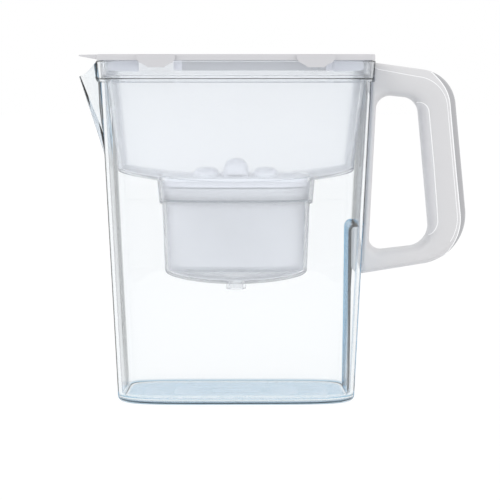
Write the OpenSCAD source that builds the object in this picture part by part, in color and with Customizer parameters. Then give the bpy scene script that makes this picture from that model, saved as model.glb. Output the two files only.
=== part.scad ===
// Water filter pitcher: a clear jug with a moulded spout and a clip-on handle,
// a milky hopper that carries a filter cartridge, and a lid with a flip-up fill flap.
// Millimetres. The origin is the centre of the jug's underside. +Z is up, +X points
// to the handle, -X to the spout.

/* [Jug] */
// Height of the jug's rim above the table
rim_z = 238.4; // [228:0.1:250]
// Length of the jug at the table
base_len = 167.4; // [158:0.1:174]
// Width of the jug at the table
base_wid = 89; // [84:0.1:96]
// Length of the jug just under the rim band
top_len = 188.6; // [184:0.1:196]
// Width of the jug just under the rim band
top_wid = 104; // [100:0.1:112]
// Wall of the jug
jug_wall = 2.5; // [2:0.1:3]
// Floor of the jug
jug_floor = 2.7; // [2:0.1:4]
// Rounding of the jug's bottom edge
base_round = 2.4; // [1:0.1:4]
// Squareness of the jug's plan, where 2 is an ellipse
plan_square = 5; // [4:0.1:7]

/* [Rim band] */
// Height of the thicker band round the rim
band_h = 14.4; // [12:0.1:18]
// Step of the band out from the wall
band_step = 1.3; // [0.8:0.1:2]
// Growth of the band from its foot to the rim
band_flare = 1.5; // [0.5:0.1:2.5]
// Wall of the band
band_wall = 2; // [1.6:0.1:2.6]
// Thickness of the ledge that the hopper rests on
ledge_t = 2.5; // [2:0.1:4]

/* [Spout] */
// Reach of the spout's tip past the wall
spout_reach = 16.3; // [12:0.1:20]
// Height of the tip below the rim
spout_drop = 11.2; // [8:0.1:14]
// Height of the spout's foot below the rim
spout_foot = 71.5; // [60:0.1:85]
// Width of the spout where it leaves the wall
spout_wid = 38; // [30:0.1:46]
// Wall of the spout
spout_wall = 2; // [1.6:0.1:2.6]
// Radius of the spout's nose, seen from above
spout_nose = 3.4; // [2.8:0.1:5]

/* [Handle seat on the jug] */
// Height of the recess that takes the handle's foot
recess_z = 122; // [116:0.1:128]
// Width of the recess
recess_wid = 31; // [30.6:0.1:36]
// Depth of the recess at the table
recess_depth = 1.7; // [1.2:0.1:2.2]
// Length of the rail that the handle hooks over
rail_h = 21; // [16:0.1:24]
// Thickness of the rail at its lower end
rail_t = 2.9; // [2.4:0.1:3.4]
// Width of the rail
rail_wid = 16; // [12:0.1:20]

/* [Handle] */
// Width of the handle across the hand
handle_wid = 28; // [24:0.1:29.8]
// Reach of the upper arm past the jug's wall at the rim
reach_top = 57.8; // [52:0.1:66]
// Reach of the lower arm past the upper arm
reach_low = 13.4; // [8:0.1:16]
// Drop of the handle's upper corner below the rim
arm_drop = 9.1; // [6:0.1:12]
// Drop of the handle's lower outer corner below the rim
heel_drop = 138.2; // [130:0.1:142]
// Height of the handle's foot above the table
foot_z = 87.6; // [84:0.1:92]
// Thickness of the upper arm
arm_t = 17.6; // [14:0.1:20]
// Thickness of the grip
grip_t = 26; // [22:0.1:28]
// Thickness of the lower arm
low_arm_t = 14.2; // [12:0.1:17]
// Thickness of the spine along the wall
spine_t = 5.3; // [4.8:0.1:6.5]
// Radius of the upper outer corner
knee_r = 26.6; // [22:0.1:30]
// Radius of the lower outer corner
heel_r = 35.4; // [28:0.1:38]
// Thickness of the cover along the back of the grip
cover_t = 5; // [3:0.1:6.5]
// Thickness of the pad on the finger side of the grip
pad_t = 6.4; // [4:0.1:7.5]
// Gap between the handle and the jug
handle_gap = 0.2; // [0.1:0.05:0.4]

/* [Hopper] */
// Gap between the hopper and the rim band
hopper_gap = 0.4; // [0.3:0.05:0.6]
// Gap between the hopper's body and the jug's wall at the ledge
body_gap = 1.4; // [1:0.1:1.6]
// Wall of the hopper
hopper_wall = 2; // [1.6:0.1:2.4]
// Thickness of the hopper's flange
flange_t = 2; // [1.6:0.1:3]
// Depth of the hopper's floor below the rim, at its ends
hopper_depth = 76.4; // [68:0.1:84]
// Sag of the hopper's floor between its ends
floor_sag = 8.6; // [5:0.1:11]
// Taper of each end of the hopper, from ledge to floor
taper_len = 7; // [5:0.1:9]
// Taper of each side of the hopper, from ledge to floor
taper_wid = 4.7; // [3:0.1:6]

/* [Filter pocket] */
// Length of the pocket at the hopper's floor
pocket_len = 111.6; // [106:0.1:120]
// Width of the pocket at the hopper's floor
pocket_wid = 78.4; // [74:0.1:80]
// Depth of the pocket's shoulder below the hopper's floor
shoulder_drop = 14.6; // [12:0.1:18]
// Width of the shoulder
shoulder_step = 2; // [1.6:0.1:2.6]
// Depth of the pocket below the shoulder, at its ends
pocket_depth = 49.8; // [44:0.1:56]
// Sag of the pocket's floor
pocket_sag = 5.4; // [3:0.1:8]
// Taper of the pocket above and below the shoulder
pocket_taper = 1.6; // [1:0.1:2.4]
// Diameter of the water outlet
outlet_d = 9; // [6:0.1:10]
// Outer diameter of the outlet's spigot
spigot_d = 14; // [13:0.1:16]
// Length of the spigot below the pocket
spigot_len = 7; // [4:0.1:9]

/* [Cartridge] */
// Gap between the cartridge and the pocket
cart_gap = 0.6; // [0.4:0.05:0.9]
// Wall of the cartridge's cup
cup_wall = 1.6; // [1.2:0.1:2]
// Height of the soft seal under the collar
seal_h = 1.5; // [1:0.1:2.5]
// Thickness of the cap's deck
deck_t = 2; // [1.6:0.1:3]
// Thickness of each mesh screen
mesh_t = 0.6; // [0.4:0.1:1]
// Width of the grip knob on the cap
knob_wid = 18.4; // [15:0.1:22]
// Height of the grip knob above the deck
knob_h = 12.4; // [9:0.1:15]
// Length of the grip knob across the cap
knob_len = 30; // [24:0.1:36]

/* [Lid] */
// Thickness of the lid at its edge
lid_edge = 4.3; // [3.6:0.1:5.5]
// Thickness of the lid's plate
lid_plate = 2.2; // [2:0.1:2.8]
// Depth of the skirts that locate the lid in the hopper
skirt_h = 7.7; // [5:0.1:8.5]
// Wall of the skirts
skirt_wall = 1.6; // [1.2:0.1:2]
// Gap between the skirts and the hopper
skirt_gap = 0.5; // [0.4:0.05:0.8]
// Gap between the lid and the jug's rim
lid_gap = 0.3; // [0.2:0.05:0.5]
// Reach of the tongue past the lid's edge
tongue_reach = 14.1; // [10:0.1:17]
// Width of the tongue that covers the spout
tongue_wid = 38; // [30:0.1:44]
// Distance of the finger tabs from the middle of the lid
tab_x = 54.1; // [48:0.1:60]
// Width of a finger tab at the lid's edge
tab_wid = 24.2; // [20:0.1:30]
// Width of a finger tab at its tip
tab_tip = 12; // [9:0.1:15]
// Drop of a finger tab below the lid's edge
tab_drop = 4.6; // [3:0.1:6]
// Thickness of a finger tab
tab_t = 2.2; // [1.6:0.1:3]

/* [Flip lid] */
// Length of the flip lid from its hinge to its thumb edge
flap_len = 104; // [90:0.1:110]
// Width of the flip lid
flap_wid = 60; // [54:0.1:66]
// Thickness of the flip lid
flap_t = 1.9; // [1.6:0.1:2]
// Distance of the hinge from the middle of the lid, towards the spout
hinge_x = 38; // [34:0.1:42]
// Radius of the hinge barrel
barrel_r = 2.4; // [2.2:0.1:2.8]
// Length of the hinge barrel
barrel_len = 40; // [34:0.1:44]
// Diameter of the hinge pins
pin_d = 2.4; // [2:0.1:2.6]
// Length of each hinge pin
pin_len = 4; // [3:0.1:5]
// Gap round the hinge pins
pin_gap = 0.15; // [0.1:0.01:0.2]
// Gap round the flip lid
flap_gap = 0.35; // [0.25:0.05:0.5]
// Ledge under the flip lid's edge
seat_w = 2.5; // [2:0.1:3.5]
// Wall of the fill chute under the flip lid
chute_wall = 2; // [1.4:0.1:2.6]

/* [Hidden] */
$fn = 48;

// Points round one ring of a loft, and the pocket's and cartridge's rounder plan
ring_pts = 48;
pocket_square = 3.4;

// Levels of the jug
band_z = rim_z - band_h;
ledge_z = band_z + ledge_t;
tip_z = rim_z - spout_drop;
spout_z = rim_z - spout_foot;
recess_x = base_len / 2 - recess_depth;
rail_z = band_z - rail_h;
rail_x = jug_a(rail_z) + rail_t;

// Levels of the hopper and its pocket
lid_z = rim_z + lid_gap;
hopper_end_z = rim_z - hopper_depth;
flange_z = ledge_z + flange_t;
shoulder_z = hopper_end_z - floor_sag - shoulder_drop;
pocket_z = shoulder_z - pocket_depth;
body_a = jug_a(ledge_z) - jug_wall - body_gap;
body_b = jug_b(ledge_z) - jug_wall - body_gap;
bottom_a = body_a - taper_len;
bottom_b = body_b - taper_wid;
pocket_a = pocket_len / 2;
pocket_b = pocket_wid / 2;

// Levels of the cartridge
seat_z = shoulder_z + hopper_wall;
collar_z = seat_z + seal_h;
deck_z = hopper_end_z - floor_sag + hopper_wall;
cup_z = pocket_z + hopper_wall + 1;
cup_floor = 2;
cap_plug = 4;
media_z = cup_z + cup_floor + mesh_t;
media_top = deck_z - cap_plug - mesh_t;

// Levels of the lid and its hinge
top_z = lid_z + lid_edge;
skirt_z = lid_z - skirt_h;
flap_z = top_z - flap_t;
axis_z = top_z - barrel_r;
notch = barrel_r + 0.8;
flap_end = flap_len - hinge_x;
chute_in = 2.1;

function mix(a, b, t) = a + (b - a) * t;
function bend(v, p) = sign(v) * pow(abs(v), p);
function flip(list) = [for (i = [len(list) - 1 : -1 : 0]) list[i]];
function unit(v) = v / norm(v);

// Half-length and half-width of the jug's outside at a height, and of its rim band
function jug_a(z) = mix(base_len, top_len, z / band_z) / 2;
function jug_b(z) = mix(base_wid, top_wid, z / band_z) / 2;
function band_out(z) = band_step + band_flare * (z - band_z) / band_h;
function band_a(z) = top_len / 2 + band_out(z);
function band_b(z) = top_wid / 2 + band_out(z);

// Half-length and half-width of the pocket's outside: above the shoulder, and below it
function upper_in(z) = pocket_taper * (deck_z - z) / (deck_z - shoulder_z);
function lower_in(z) = shoulder_step + pocket_taper * (1 + (shoulder_z - z) / pocket_depth);

// A ring of points: a superellipse at a height, which may follow a sagging floor
function ring(a, b, z, sq = plan_square, sag = 0, span = 1) =
    [for (i = [0 : ring_pts - 1])
        let (t = 360 * i / ring_pts, x = a * bend(cos(t), 2 / sq))
        [x, b * bend(sin(t), 2 / sq), z - sag * (1 - pow(x / span, 2))]];
function hopper_ring(in, z, up = 0) =
    ring(mix(bottom_a, body_a, (z - hopper_end_z) / (ledge_z - hopper_end_z)) - in,
         mix(bottom_b, body_b, (z - hopper_end_z) / (ledge_z - hopper_end_z)) - in,
         z + up, plan_square, z < hopper_end_z + 3 ? floor_sag : 0, bottom_a);
function pocket_ring(in, z, sag = 0, span = 1) =
    ring(pocket_a - in, pocket_b - in, z, pocket_square, sag, span);
function floor_ring(in, z) = pocket_ring(in, z, floor_sag, bottom_a);
function dish_ring(in, z) =
    pocket_ring(in, z, pocket_sag, pocket_a - lower_in(pocket_z));

// Triangles between rings, from ring to ring and from the last to the first if closed
function skin(k, m, closed) =
    [for (j = [0 : m - (closed ? 1 : 2)], i = [0 : k - 1])
        let (n = (i + 1) % k, u = (j + 1) % m)
        each [[j * k + i, u * k + i, u * k + n], [j * k + i, u * k + n, j * k + n]]];

// A solid between a first and a last flat ring
module loft(rings) {
    k = len(rings[0]);
    m = len(rings);
    caps = [[for (i = [0 : k - 1]) i], [for (i = [k - 1 : -1 : 0]) (m - 1) * k + i]];
    polyhedron([for (r = rings) each r], concat(skin(k, m, false), caps), 4);
}

// A solid whose rings close on themselves, such as a skirt or a handle
module loop(rings)
    polyhedron([for (r = rings) each r], skin(len(rings[0]), len(rings), true), 4);

// An outline in X and Z, drawn out to both sides of the middle plane
module across(width)
    rotate([90, 0, 0]) linear_extrude(height = width, center = true) children();

// The corner of an outline at q, between p and s, rounded with k steps
function corner(p, q, s, r, k) =
    let (u = unit(p - q), v = unit(s - q), half = acos(u * v) / 2,
         c = q + unit(u + v) * r / sin(half), turn = 180 - 2 * half,
         a = q + u * r / tan(half) - c, b = q + v * r / tan(half) - c)
    [for (i = [0 : k]) c + (a * sin(turn * (1 - i / k)) + b * sin(turn * i / k)) / sin(turn)];

// A closed outline from corner points and radii, with m points along each side
function outline(pts, radii, k, m) =
    let (n = len(pts),
         arcs = [for (i = [0 : n - 1])
             corner(pts[(i + n - 1) % n], pts[i], pts[(i + 1) % n], radii[i], k)])
    [for (i = [0 : n - 1], j = [0 : k + m])
        j <= k ? arcs[i][j] : mix(arcs[i][k], arcs[(i + 1) % n][0], (j - k) / (m + 1))];
function box_outline(x0, x1, y0, y1, r) =
    outline([[x0, y0], [x0, y1], [x1, y1], [x1, y0]], [r, r, r, r], 6, 0);

// Outlines of the handle in X and Z: outside, and round the finger opening
arc_steps = 9;
side_steps = 4;
side_len = arc_steps + side_steps + 1;
wall_top = [jug_a(rim_z) + handle_gap, rim_z - 1];
wall_low = [jug_a(foot_z) + handle_gap, foot_z];
knee = [jug_a(rim_z) + reach_top, rim_z - arm_drop];
heel = [knee[0] + reach_low, rim_z - heel_drop];
handle_out = outline([wall_top, knee, heel, wall_low], [1.5, knee_r, heel_r, 1.5],
                     arc_steps, side_steps);
gap_top = rim_z - arm_drop - arm_t;
gap_low = foot_z + low_arm_t + 1.6;
handle_in = outline(
    [[jug_a(gap_top + 2) + spine_t, gap_top + 3], [knee[0] - grip_t + 1.2, gap_top],
     [heel[0] - grip_t - 2.2, heel[1] + low_arm_t - 6], [jug_a(gap_low) + spine_t, gap_low]],
    [10, 12, 15, 9], arc_steps, side_steps);

// A point between the handle's two outlines, at station i and a share s from the opening
function along(list, i) = mix(list[floor(i)], list[floor(i) + 1], i - floor(i));
function between(i, s) = mix(along(handle_in, i), along(handle_out, i), s);
function section(i, n = 3.2, k = 20) =
    let (c = mix(handle_in[i], handle_out[i], 0.5), h = handle_out[i] - c)
    [for (j = [0 : k - 1]) let (t = 360 * j / k, p = c + h * bend(cos(t), 2 / n))
        [p[0], -handle_wid / 2 * bend(sin(t), 2 / n), p[1]]];

module handle_solid() loop([for (i = [0 : len(handle_out) - 1]) section(i)]);

// The region of the cover along the back of the grip, and of the pad inside it
cover_first = side_len + 1.6;
cover_last = 2 * side_len + arc_steps - 1.4;
pad_first = side_len + 5.6;
pad_last = 2 * side_len + 3.4;
function swell(i, first, last) = pow(sin(180 * (i - first) / (last - first)), 0.4);
module region(first, last, edge, depth)
    across(handle_wid + 2)
        polygon(concat(
            [for (i = [first : 1 : last + 0.01]) between(i, edge + depth * swell(i, first, last))],
            [for (i = [last : -1 : first - 0.01]) between(i, edge - 0.4 * sign(depth))]));
module cover_region() region(cover_first, cover_last, 1.03, -cover_t / grip_t - 0.03);
module pad_region() region(pad_first, pad_last, -0.03, pad_t / grip_t + 0.03);

// The spout as a wedge that narrows down the wall, grown or shrunk by in
module spout_wedge(in, root)
    hull() {
        translate([-jug_a(band_z) - spout_reach + spout_nose, 0, tip_z])
            cylinder(r = spout_nose - in, h = spout_drop, $fn = 24);
        for (side = [-1, 1])
            translate([-jug_a(band_z) + root, side * (spout_wid / 2 - in), tip_z])
                cylinder(r = 0.4, h = spout_drop, $fn = 8);
        translate([-jug_a(spout_z) + root, 0, spout_z + 3.4 * in])
            cylinder(r = 0.8, h = 1, $fn = 8);
    }

// The air above the spout's lip, which curves down from the rim to the tip
module above_lip()
    across(spout_wid * 2)
        polygon(concat(
            [for (i = [0 : 8]) let (s = i / 8)
                [-mix(band_a(rim_z), jug_a(band_z) + spout_reach + 1, s) + 0.2,
                 tip_z + spout_drop * pow(1 - s, 1.6)]],
            [[-band_a(rim_z) - 60, tip_z], [-band_a(rim_z) - 60, rim_z + 20],
             [-band_a(rim_z), rim_z + 20]]));

// The solid inside the jug's outer skin, set in from it
module jug_core(in, low, high)
    loft([ring(jug_a(low) - in, jug_b(low) - in, low),
          ring(jug_a(band_z) - in, jug_b(band_z) - in, band_z),
          ring(band_a(band_z) - in, band_b(band_z) - in, band_z + 0.01),
          ring(band_a(high) - in, band_b(high) - in, high)]);

module recess_solid(in)
    across(recess_wid + 2 * in)
        polygon(outline([[recess_x - in, -5], [recess_x - in, recess_z + in],
                         [base_len, recess_z + in], [base_len, -5]],
                        [0.1, 2.5 + in, 0.1, 0.1], 6, 0));

module jug_shell()
    loft([ring(jug_a(0) - base_round, jug_b(0) - base_round, 0),
          ring(jug_a(0) - base_round * 0.3, jug_b(0) - base_round * 0.3, base_round * 0.3),
          ring(jug_a(base_round), jug_b(base_round), base_round),
          ring(jug_a(band_z), jug_b(band_z), band_z),
          ring(band_a(band_z), band_b(band_z), band_z),
          ring(band_a(rim_z), band_b(rim_z), rim_z),
          ring(band_a(rim_z) - band_wall, band_b(rim_z) - band_wall, rim_z),
          ring(band_a(ledge_z) - band_wall, band_b(ledge_z) - band_wall, ledge_z),
          ring(jug_a(ledge_z) - jug_wall, jug_b(ledge_z) - jug_wall, ledge_z),
          ring(jug_a(jug_floor) - jug_wall, jug_b(jug_floor) - jug_wall, jug_floor + base_round),
          ring(jug_a(0) - jug_wall - base_round, jug_b(0) - jug_wall - base_round, jug_floor)]);

module jug_body() color([0.75, 0.86, 0.95, 0.35])
    difference() {
        union() {
            jug_shell();
            difference() {
                spout_wedge(0, 1);
                jug_core(jug_wall / 2, spout_z - 20, rim_z + 1);
                above_lip();
            }
            intersection() {
                recess_solid(jug_wall);
                jug_core(0.3, 1, ledge_z);
            }
            translate([rail_x - rail_t - 1, -rail_wid / 2, rail_z])
                cube([rail_t + 1, rail_wid, rail_h + 0.5]);
        }
        difference() {
            spout_wedge(spout_wall, jug_wall + 4);
            jug_core(0, band_z, rim_z + 1);
        }
        recess_solid(0);
    }

module handle_cuts() {
    translate([0, -handle_wid, band_z - handle_gap])
        cube([band_a(rim_z) + handle_gap, 2 * handle_wid, band_h * 2]);
    translate([0, -rail_wid / 2 - handle_gap, rail_z - handle_gap])
        cube([rail_x + handle_gap, rail_wid + 2 * handle_gap, rail_h + 1]);
}

module handle_frame() color([0.86, 0.86, 0.87]) {
    foot_in = 3.4;
    foot_h = recess_z - foot_z - 4;
    difference() {
        handle_solid();
        handle_cuts();
        cover_region();
        pad_region();
    }
    translate([wall_low[0] - foot_in, -recess_wid / 2 + 4, recess_z - 0.5 - foot_h])
        cube([foot_in + 1.5, recess_wid - 8, foot_h]);
}

module handle_cover() color([0.78, 0.78, 0.8])
    intersection() {
        handle_solid();
        cover_region();
    }

module grip_pad() color([0.92, 0.92, 0.93])
    intersection() {
        handle_solid();
        pad_region();
    }

module hopper() color([0.9, 0.91, 0.94, 0.6]) {
    w = hopper_wall;
    gap = band_wall + hopper_gap;
    dish = 5;
    hub_r = spigot_d / 2 + 2;
    difference() {
        union() {
            loft([ring(hub_r, hub_r, pocket_z - pocket_sag, 2),
                  dish_ring(lower_in(pocket_z) + 16, pocket_z - 0.6),
                  dish_ring(lower_in(pocket_z) + dish, pocket_z),
                  dish_ring(lower_in(pocket_z) + 0.8, pocket_z + 2.4),
                  dish_ring(lower_in(pocket_z), pocket_z + 5.4),
                  pocket_ring(lower_in(shoulder_z), shoulder_z),
                  pocket_ring(upper_in(shoulder_z), shoulder_z),
                  floor_ring(0, hopper_end_z),
                  hopper_ring(2.4, hopper_end_z),
                  hopper_ring(0.6, hopper_end_z, 0.7),
                  hopper_ring(0, hopper_end_z, 2.4),
                  ring(body_a, body_b, ledge_z),
                  ring(band_a(ledge_z) - gap, band_b(ledge_z) - gap, ledge_z),
                  ring(band_a(rim_z) - gap, band_b(rim_z) - gap, lid_z),
                  ring(band_a(rim_z) - gap - w + 0.2, band_b(rim_z) - gap - w + 0.2, lid_z),
                  ring(band_a(ledge_z) - gap - w + 0.2, band_b(ledge_z) - gap - w + 0.2, flange_z),
                  ring(body_a - w, body_b - w, flange_z),
                  hopper_ring(w, hopper_end_z, w + 2.4),
                  hopper_ring(w + 0.8, hopper_end_z, w + 0.7),
                  hopper_ring(w + 2.4, hopper_end_z, w),
                  floor_ring(w, hopper_end_z + w),
                  pocket_ring(upper_in(shoulder_z) + w, seat_z),
                  pocket_ring(lower_in(shoulder_z) + w, seat_z),
                  dish_ring(lower_in(pocket_z) + w, pocket_z + 5.4 + w),
                  dish_ring(lower_in(pocket_z) + 0.8 + w, pocket_z + 2.4 + w),
                  dish_ring(lower_in(pocket_z) + dish + w, pocket_z + w),
                  dish_ring(lower_in(pocket_z) + 16 + w, pocket_z + w - 0.6),
                  ring(hub_r, hub_r, pocket_z - pocket_sag + w, 2)]);
            translate([0, 0, pocket_z - pocket_sag - spigot_len])
                cylinder(d = spigot_d, h = spigot_len + w / 2);
        }
        translate([0, 0, pocket_z - pocket_sag - spigot_len - 1])
            cylinder(d = outlet_d, h = spigot_len + w + 2);
    }
}

// Outside of the cartridge, set in from the inside of the pocket
function cart_ring(in, z) =
    pocket_ring(hopper_wall + cart_gap + in
                + (z < seat_z ? lower_in(z - hopper_wall) : upper_in(z)), z);

module cartridge_cup() color([0.93, 0.93, 0.94])
    difference() {
        loft([cart_ring(2, cup_z),
              cart_ring(0, cup_z + 2),
              cart_ring(0, seat_z - 0.01),
              cart_ring(shoulder_step, collar_z),
              cart_ring(0, collar_z),
              cart_ring(0, deck_z),
              cart_ring(cup_wall, deck_z),
              cart_ring(cup_wall, collar_z + 3),
              cart_ring(cup_wall, seat_z - 0.01),
              cart_ring(cup_wall, cup_z + cup_floor)]);
        for (x = [-36 : 9 : 36])
            translate([x - 1, -18, cup_z - 1])
                cube([2, 36, cup_floor + 3]);
    }

module cartridge_seal() color([0.55, 0.57, 0.6]) {
    reach = shoulder_step - 0.2;
    loop([cart_ring(0.2, seat_z), cart_ring(0.2, collar_z),
          cart_ring(reach, collar_z), cart_ring(reach, seat_z)]);
}

module bottom_mesh() color([0.8, 0.8, 0.8]) {
    z = cup_z + cup_floor;
    loft([cart_ring(cup_wall + 0.4, z), cart_ring(cup_wall + 0.4, z + mesh_t)]);
}

module filter_media() color([0.35, 0.33, 0.32]) {
    in = cup_wall + 0.3;
    loft([cart_ring(in, media_z), cart_ring(in, seat_z - 0.01),
          cart_ring(in, collar_z + 3), cart_ring(in, media_top)]);
}

module top_mesh() color([0.8, 0.8, 0.8])
    loft([cart_ring(cup_wall + 0.4, media_top),
          cart_ring(cup_wall + 0.4, media_top + mesh_t)]);

// A low dome with a rounded plan
module dome(wid, len, high, z)
    loft([for (s = [0, 0.35, 0.65, 0.85, 0.96, 1])
        let (shrink = pow(1 - pow(s, 2.6), 1 / 2.6))
        ring(wid / 2 * max(shrink, 0.25), len / 2 * max(shrink, 0.25), z + high * s, 3)]);

module cartridge_cap() color([0.95, 0.95, 0.96])
    difference() {
        union() {
            loft([cart_ring(0, deck_z), cart_ring(0, deck_z + deck_t - 0.5),
                  cart_ring(0.5, deck_z + deck_t)]);
            loop([cart_ring(cup_wall + 0.25, deck_z - cap_plug),
                  cart_ring(cup_wall + 0.25, deck_z + 0.1),
                  cart_ring(2 * cup_wall + 0.25, deck_z + 0.1),
                  cart_ring(2 * cup_wall + 0.25, deck_z - cap_plug)]);
            dome(knob_wid, knob_len, knob_h, deck_z + deck_t - 0.1);
            for (side = [-1, 1])
                translate([side * 21, 0, 0])
                    dome(18, knob_len, 6, deck_z + deck_t - 0.1);
        }
        for (side = [-1, 1]) {
            for (y = [-12 : 6 : 12])
                translate([side * 42.6 - 8, y - 1, deck_z - 1])
                    cube([16, 2, deck_t + 2]);
            translate([-knob_wid / 2 + 1.4, side * knob_len / 2 - 3, deck_z + deck_t])
                cube([knob_wid - 2.8, 6, 1.6]);
        }
    }

// Half-length and half-width of the lid's edge and of its skirts' outside
lid_a = band_a(rim_z) - 0.2;
lid_b = band_b(rim_z) - 0.2;
skirt_in = band_wall + hopper_gap + hopper_wall - 0.2 + skirt_gap;
lid_band = 8;
skirt_y = 40;
tab_seam = 0.02;

// Ring of the skirts that locate the lid, set in from their outer face
function skirt(in, z) =
    ring(band_a(skirt_z) - skirt_in - in, band_b(skirt_z) - skirt_in - in, z, pocket_square);

// The tongue that reaches over the spout
module tongue() {
    tip = -lid_a - tongue_reach;
    hull() {
        translate([-lid_a + 5, -tongue_wid / 2, lid_z + 0.2])
            cube([1, tongue_wid, lid_edge - 0.3]);
        translate([-lid_a - 1, -tongue_wid / 2 + 1.5, lid_z + 0.5])
            cube([1, tongue_wid - 3, lid_edge - 0.7]);
        translate([tip + 6, 0, top_z - 1.6])
            cylinder(r = 6, h = 1.1, $fn = 32);
    }
}

// A finger tab with hollow flanks, at the lid's long edge
module tab() {
    steps = 6;
    flank = [for (i = [0 : steps]) let (s = i / steps)
        [mix(tab_wid, tab_tip, 0.5 - cos(180 * s) / 2) / 2, lid_z - tab_drop * s]];
    across(tab_t)
        polygon(concat([[-tab_wid / 2 - 1, lid_z + 1], [-tab_wid / 2 - 1, top_z - 0.6],
                        [tab_wid / 2 + 1, top_z - 0.6], [tab_wid / 2 + 1, lid_z + 1]],
                       flank, [for (p = flip(flank)) [-p[0], p[1]]]));
}

module lid() color([0.87, 0.87, 0.88])
    difference() {
        union() {
            loft([ring(lid_a - lid_band, lid_b - lid_band, top_z - lid_plate, pocket_square),
                  ring(lid_a - lid_band, lid_b - lid_band, lid_z, pocket_square),
                  ring(lid_a, lid_b, lid_z),
                  ring(lid_a, lid_b, top_z - 0.6),
                  ring(lid_a - 0.6, lid_b - 0.6, top_z)]);
            tongue();
            translate([0, 0, skirt_z])
                linear_extrude(height = flap_z - skirt_z + 0.6)
                    polygon(box_outline(-hinge_x - notch - chute_wall, flap_end + chute_wall,
                                        -flap_wid / 2 - chute_wall, flap_wid / 2 + chute_wall, 6));
        }
        // Inside of the chute, the opening above it and the seat of the flip lid
        translate([0, 0, skirt_z - 1])
            linear_extrude(height = flap_z - chute_in - skirt_z + 1)
                polygon(box_outline(-hinge_x + notch, flap_end,
                                    -flap_wid / 2, flap_wid / 2, 4.5));
        translate([0, 0, skirt_z])
            linear_extrude(height = top_z)
                polygon(box_outline(-hinge_x + notch, flap_end - seat_w,
                                    -flap_wid / 2 + seat_w, flap_wid / 2 - seat_w, 3));
        translate([0, 0, flap_z])
            linear_extrude(height = lid_edge)
                polygon(box_outline(-hinge_x + notch, flap_end + flap_gap,
                                    -flap_wid / 2 - flap_gap, flap_wid / 2 + flap_gap, 4));
        // Room for the hinge barrel, bores for its pins, and the thumb scoop
        translate([-hinge_x - notch, -barrel_len / 2 - 0.4, skirt_z - 1])
            cube([2 * notch + 1, barrel_len + 0.8, top_z]);
        translate([-hinge_x, 0, axis_z])
            rotate([90, 0, 0])
                cylinder(d = pin_d + 2 * pin_gap, h = barrel_len + 2 * pin_len + 1, center = true);
        translate([flap_end + 2, 0, top_z + 9])
            rotate([90, 0, 0])
                cylinder(r = 10.2, h = 26, center = true);
    }

module lid_tabs() color([0.87, 0.87, 0.88])
    difference() {
        for (x = [-tab_x, tab_x], side = [0, 1])
            mirror([0, side, 0])
                translate([x, lid_b + lid_gap + 0.2 + tab_t / 2, 0]) {
                    tab();
                    translate([-tab_wid / 2, -tab_t / 2 - 1.5, lid_z + 0.2])
                        cube([tab_wid, 2, lid_edge - 0.9]);
                }
        loft([ring(lid_a + tab_seam, lid_b + tab_seam, lid_z - 1),
              ring(lid_a + tab_seam, lid_b + tab_seam, top_z + 1)]);
    }

// The skirts run round the two ends of the lid only
module lid_skirts() color([0.87, 0.87, 0.88])
    difference() {
        loop([skirt(skirt_wall, lid_z - tab_seam), skirt(skirt_wall, skirt_z),
              skirt(0, skirt_z), skirt(0, lid_z - tab_seam)]);
        for (side = [-1, 1])
            translate([-tab_x - tab_wid / 2, side > 0 ? skirt_y : -lid_b, skirt_z - 1])
                cube([2 * tab_x + tab_wid, lid_b - skirt_y, skirt_h + 2]);
    }

module flip_lid() color([0.89, 0.89, 0.9]) {
    clear = notch + 1.1;
    translate([0, 0, flap_z])
        linear_extrude(height = flap_t)
            polygon(box_outline(-hinge_x + clear, flap_end, -flap_wid / 2, flap_wid / 2, 4));
    translate([-hinge_x, -barrel_len / 2, flap_z])
        cube([clear + 1, barrel_len, flap_t]);
    translate([-hinge_x, 0, axis_z])
        rotate([90, 0, 0]) {
            cylinder(r = barrel_r, h = barrel_len, center = true);
            cylinder(d = pin_d, h = barrel_len + 2 * pin_len, center = true);
        }
}

jug_body();
handle_frame();
handle_cover();
grip_pad();
hopper();
cartridge_cup();
cartridge_cap();
cartridge_seal();
top_mesh();
filter_media();
bottom_mesh();
lid();
lid_tabs();
lid_skirts();
flip_lid();
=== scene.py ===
# %% [markdown]
# # A water filter pitcher with a flip lid
#
# The real object is a clear moulded jug. A milky hopper hangs in it and carries the
# filter cartridge, a white lid with a small fill flap closes it, and a white handle
# is clipped onto one end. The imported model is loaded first. It fixes where every
# piece is, and each piece made below takes the place of one of its nodes.

# %% Load the frame
import math
import bmesh
import bpy
import numpy as np
from mathutils import Matrix


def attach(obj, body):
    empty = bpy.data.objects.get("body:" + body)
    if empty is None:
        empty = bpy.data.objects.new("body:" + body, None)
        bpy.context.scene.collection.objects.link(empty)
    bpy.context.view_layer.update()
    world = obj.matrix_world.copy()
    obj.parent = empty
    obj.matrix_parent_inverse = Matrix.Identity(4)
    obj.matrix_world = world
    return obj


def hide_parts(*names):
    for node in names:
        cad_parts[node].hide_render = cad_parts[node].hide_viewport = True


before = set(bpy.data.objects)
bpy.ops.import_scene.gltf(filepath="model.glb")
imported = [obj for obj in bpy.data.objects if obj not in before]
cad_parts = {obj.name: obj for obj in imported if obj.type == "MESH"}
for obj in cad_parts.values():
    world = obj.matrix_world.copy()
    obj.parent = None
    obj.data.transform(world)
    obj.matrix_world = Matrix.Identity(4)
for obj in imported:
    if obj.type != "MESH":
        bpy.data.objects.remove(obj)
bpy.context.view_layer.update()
MM = 0.001

# %% [markdown]
# The camera stands 1.3 m in front of the jug, level with its lid, and looks down by
# 6 degrees, as in the photograph. A long lens keeps the jug's walls nearly parallel.

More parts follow.
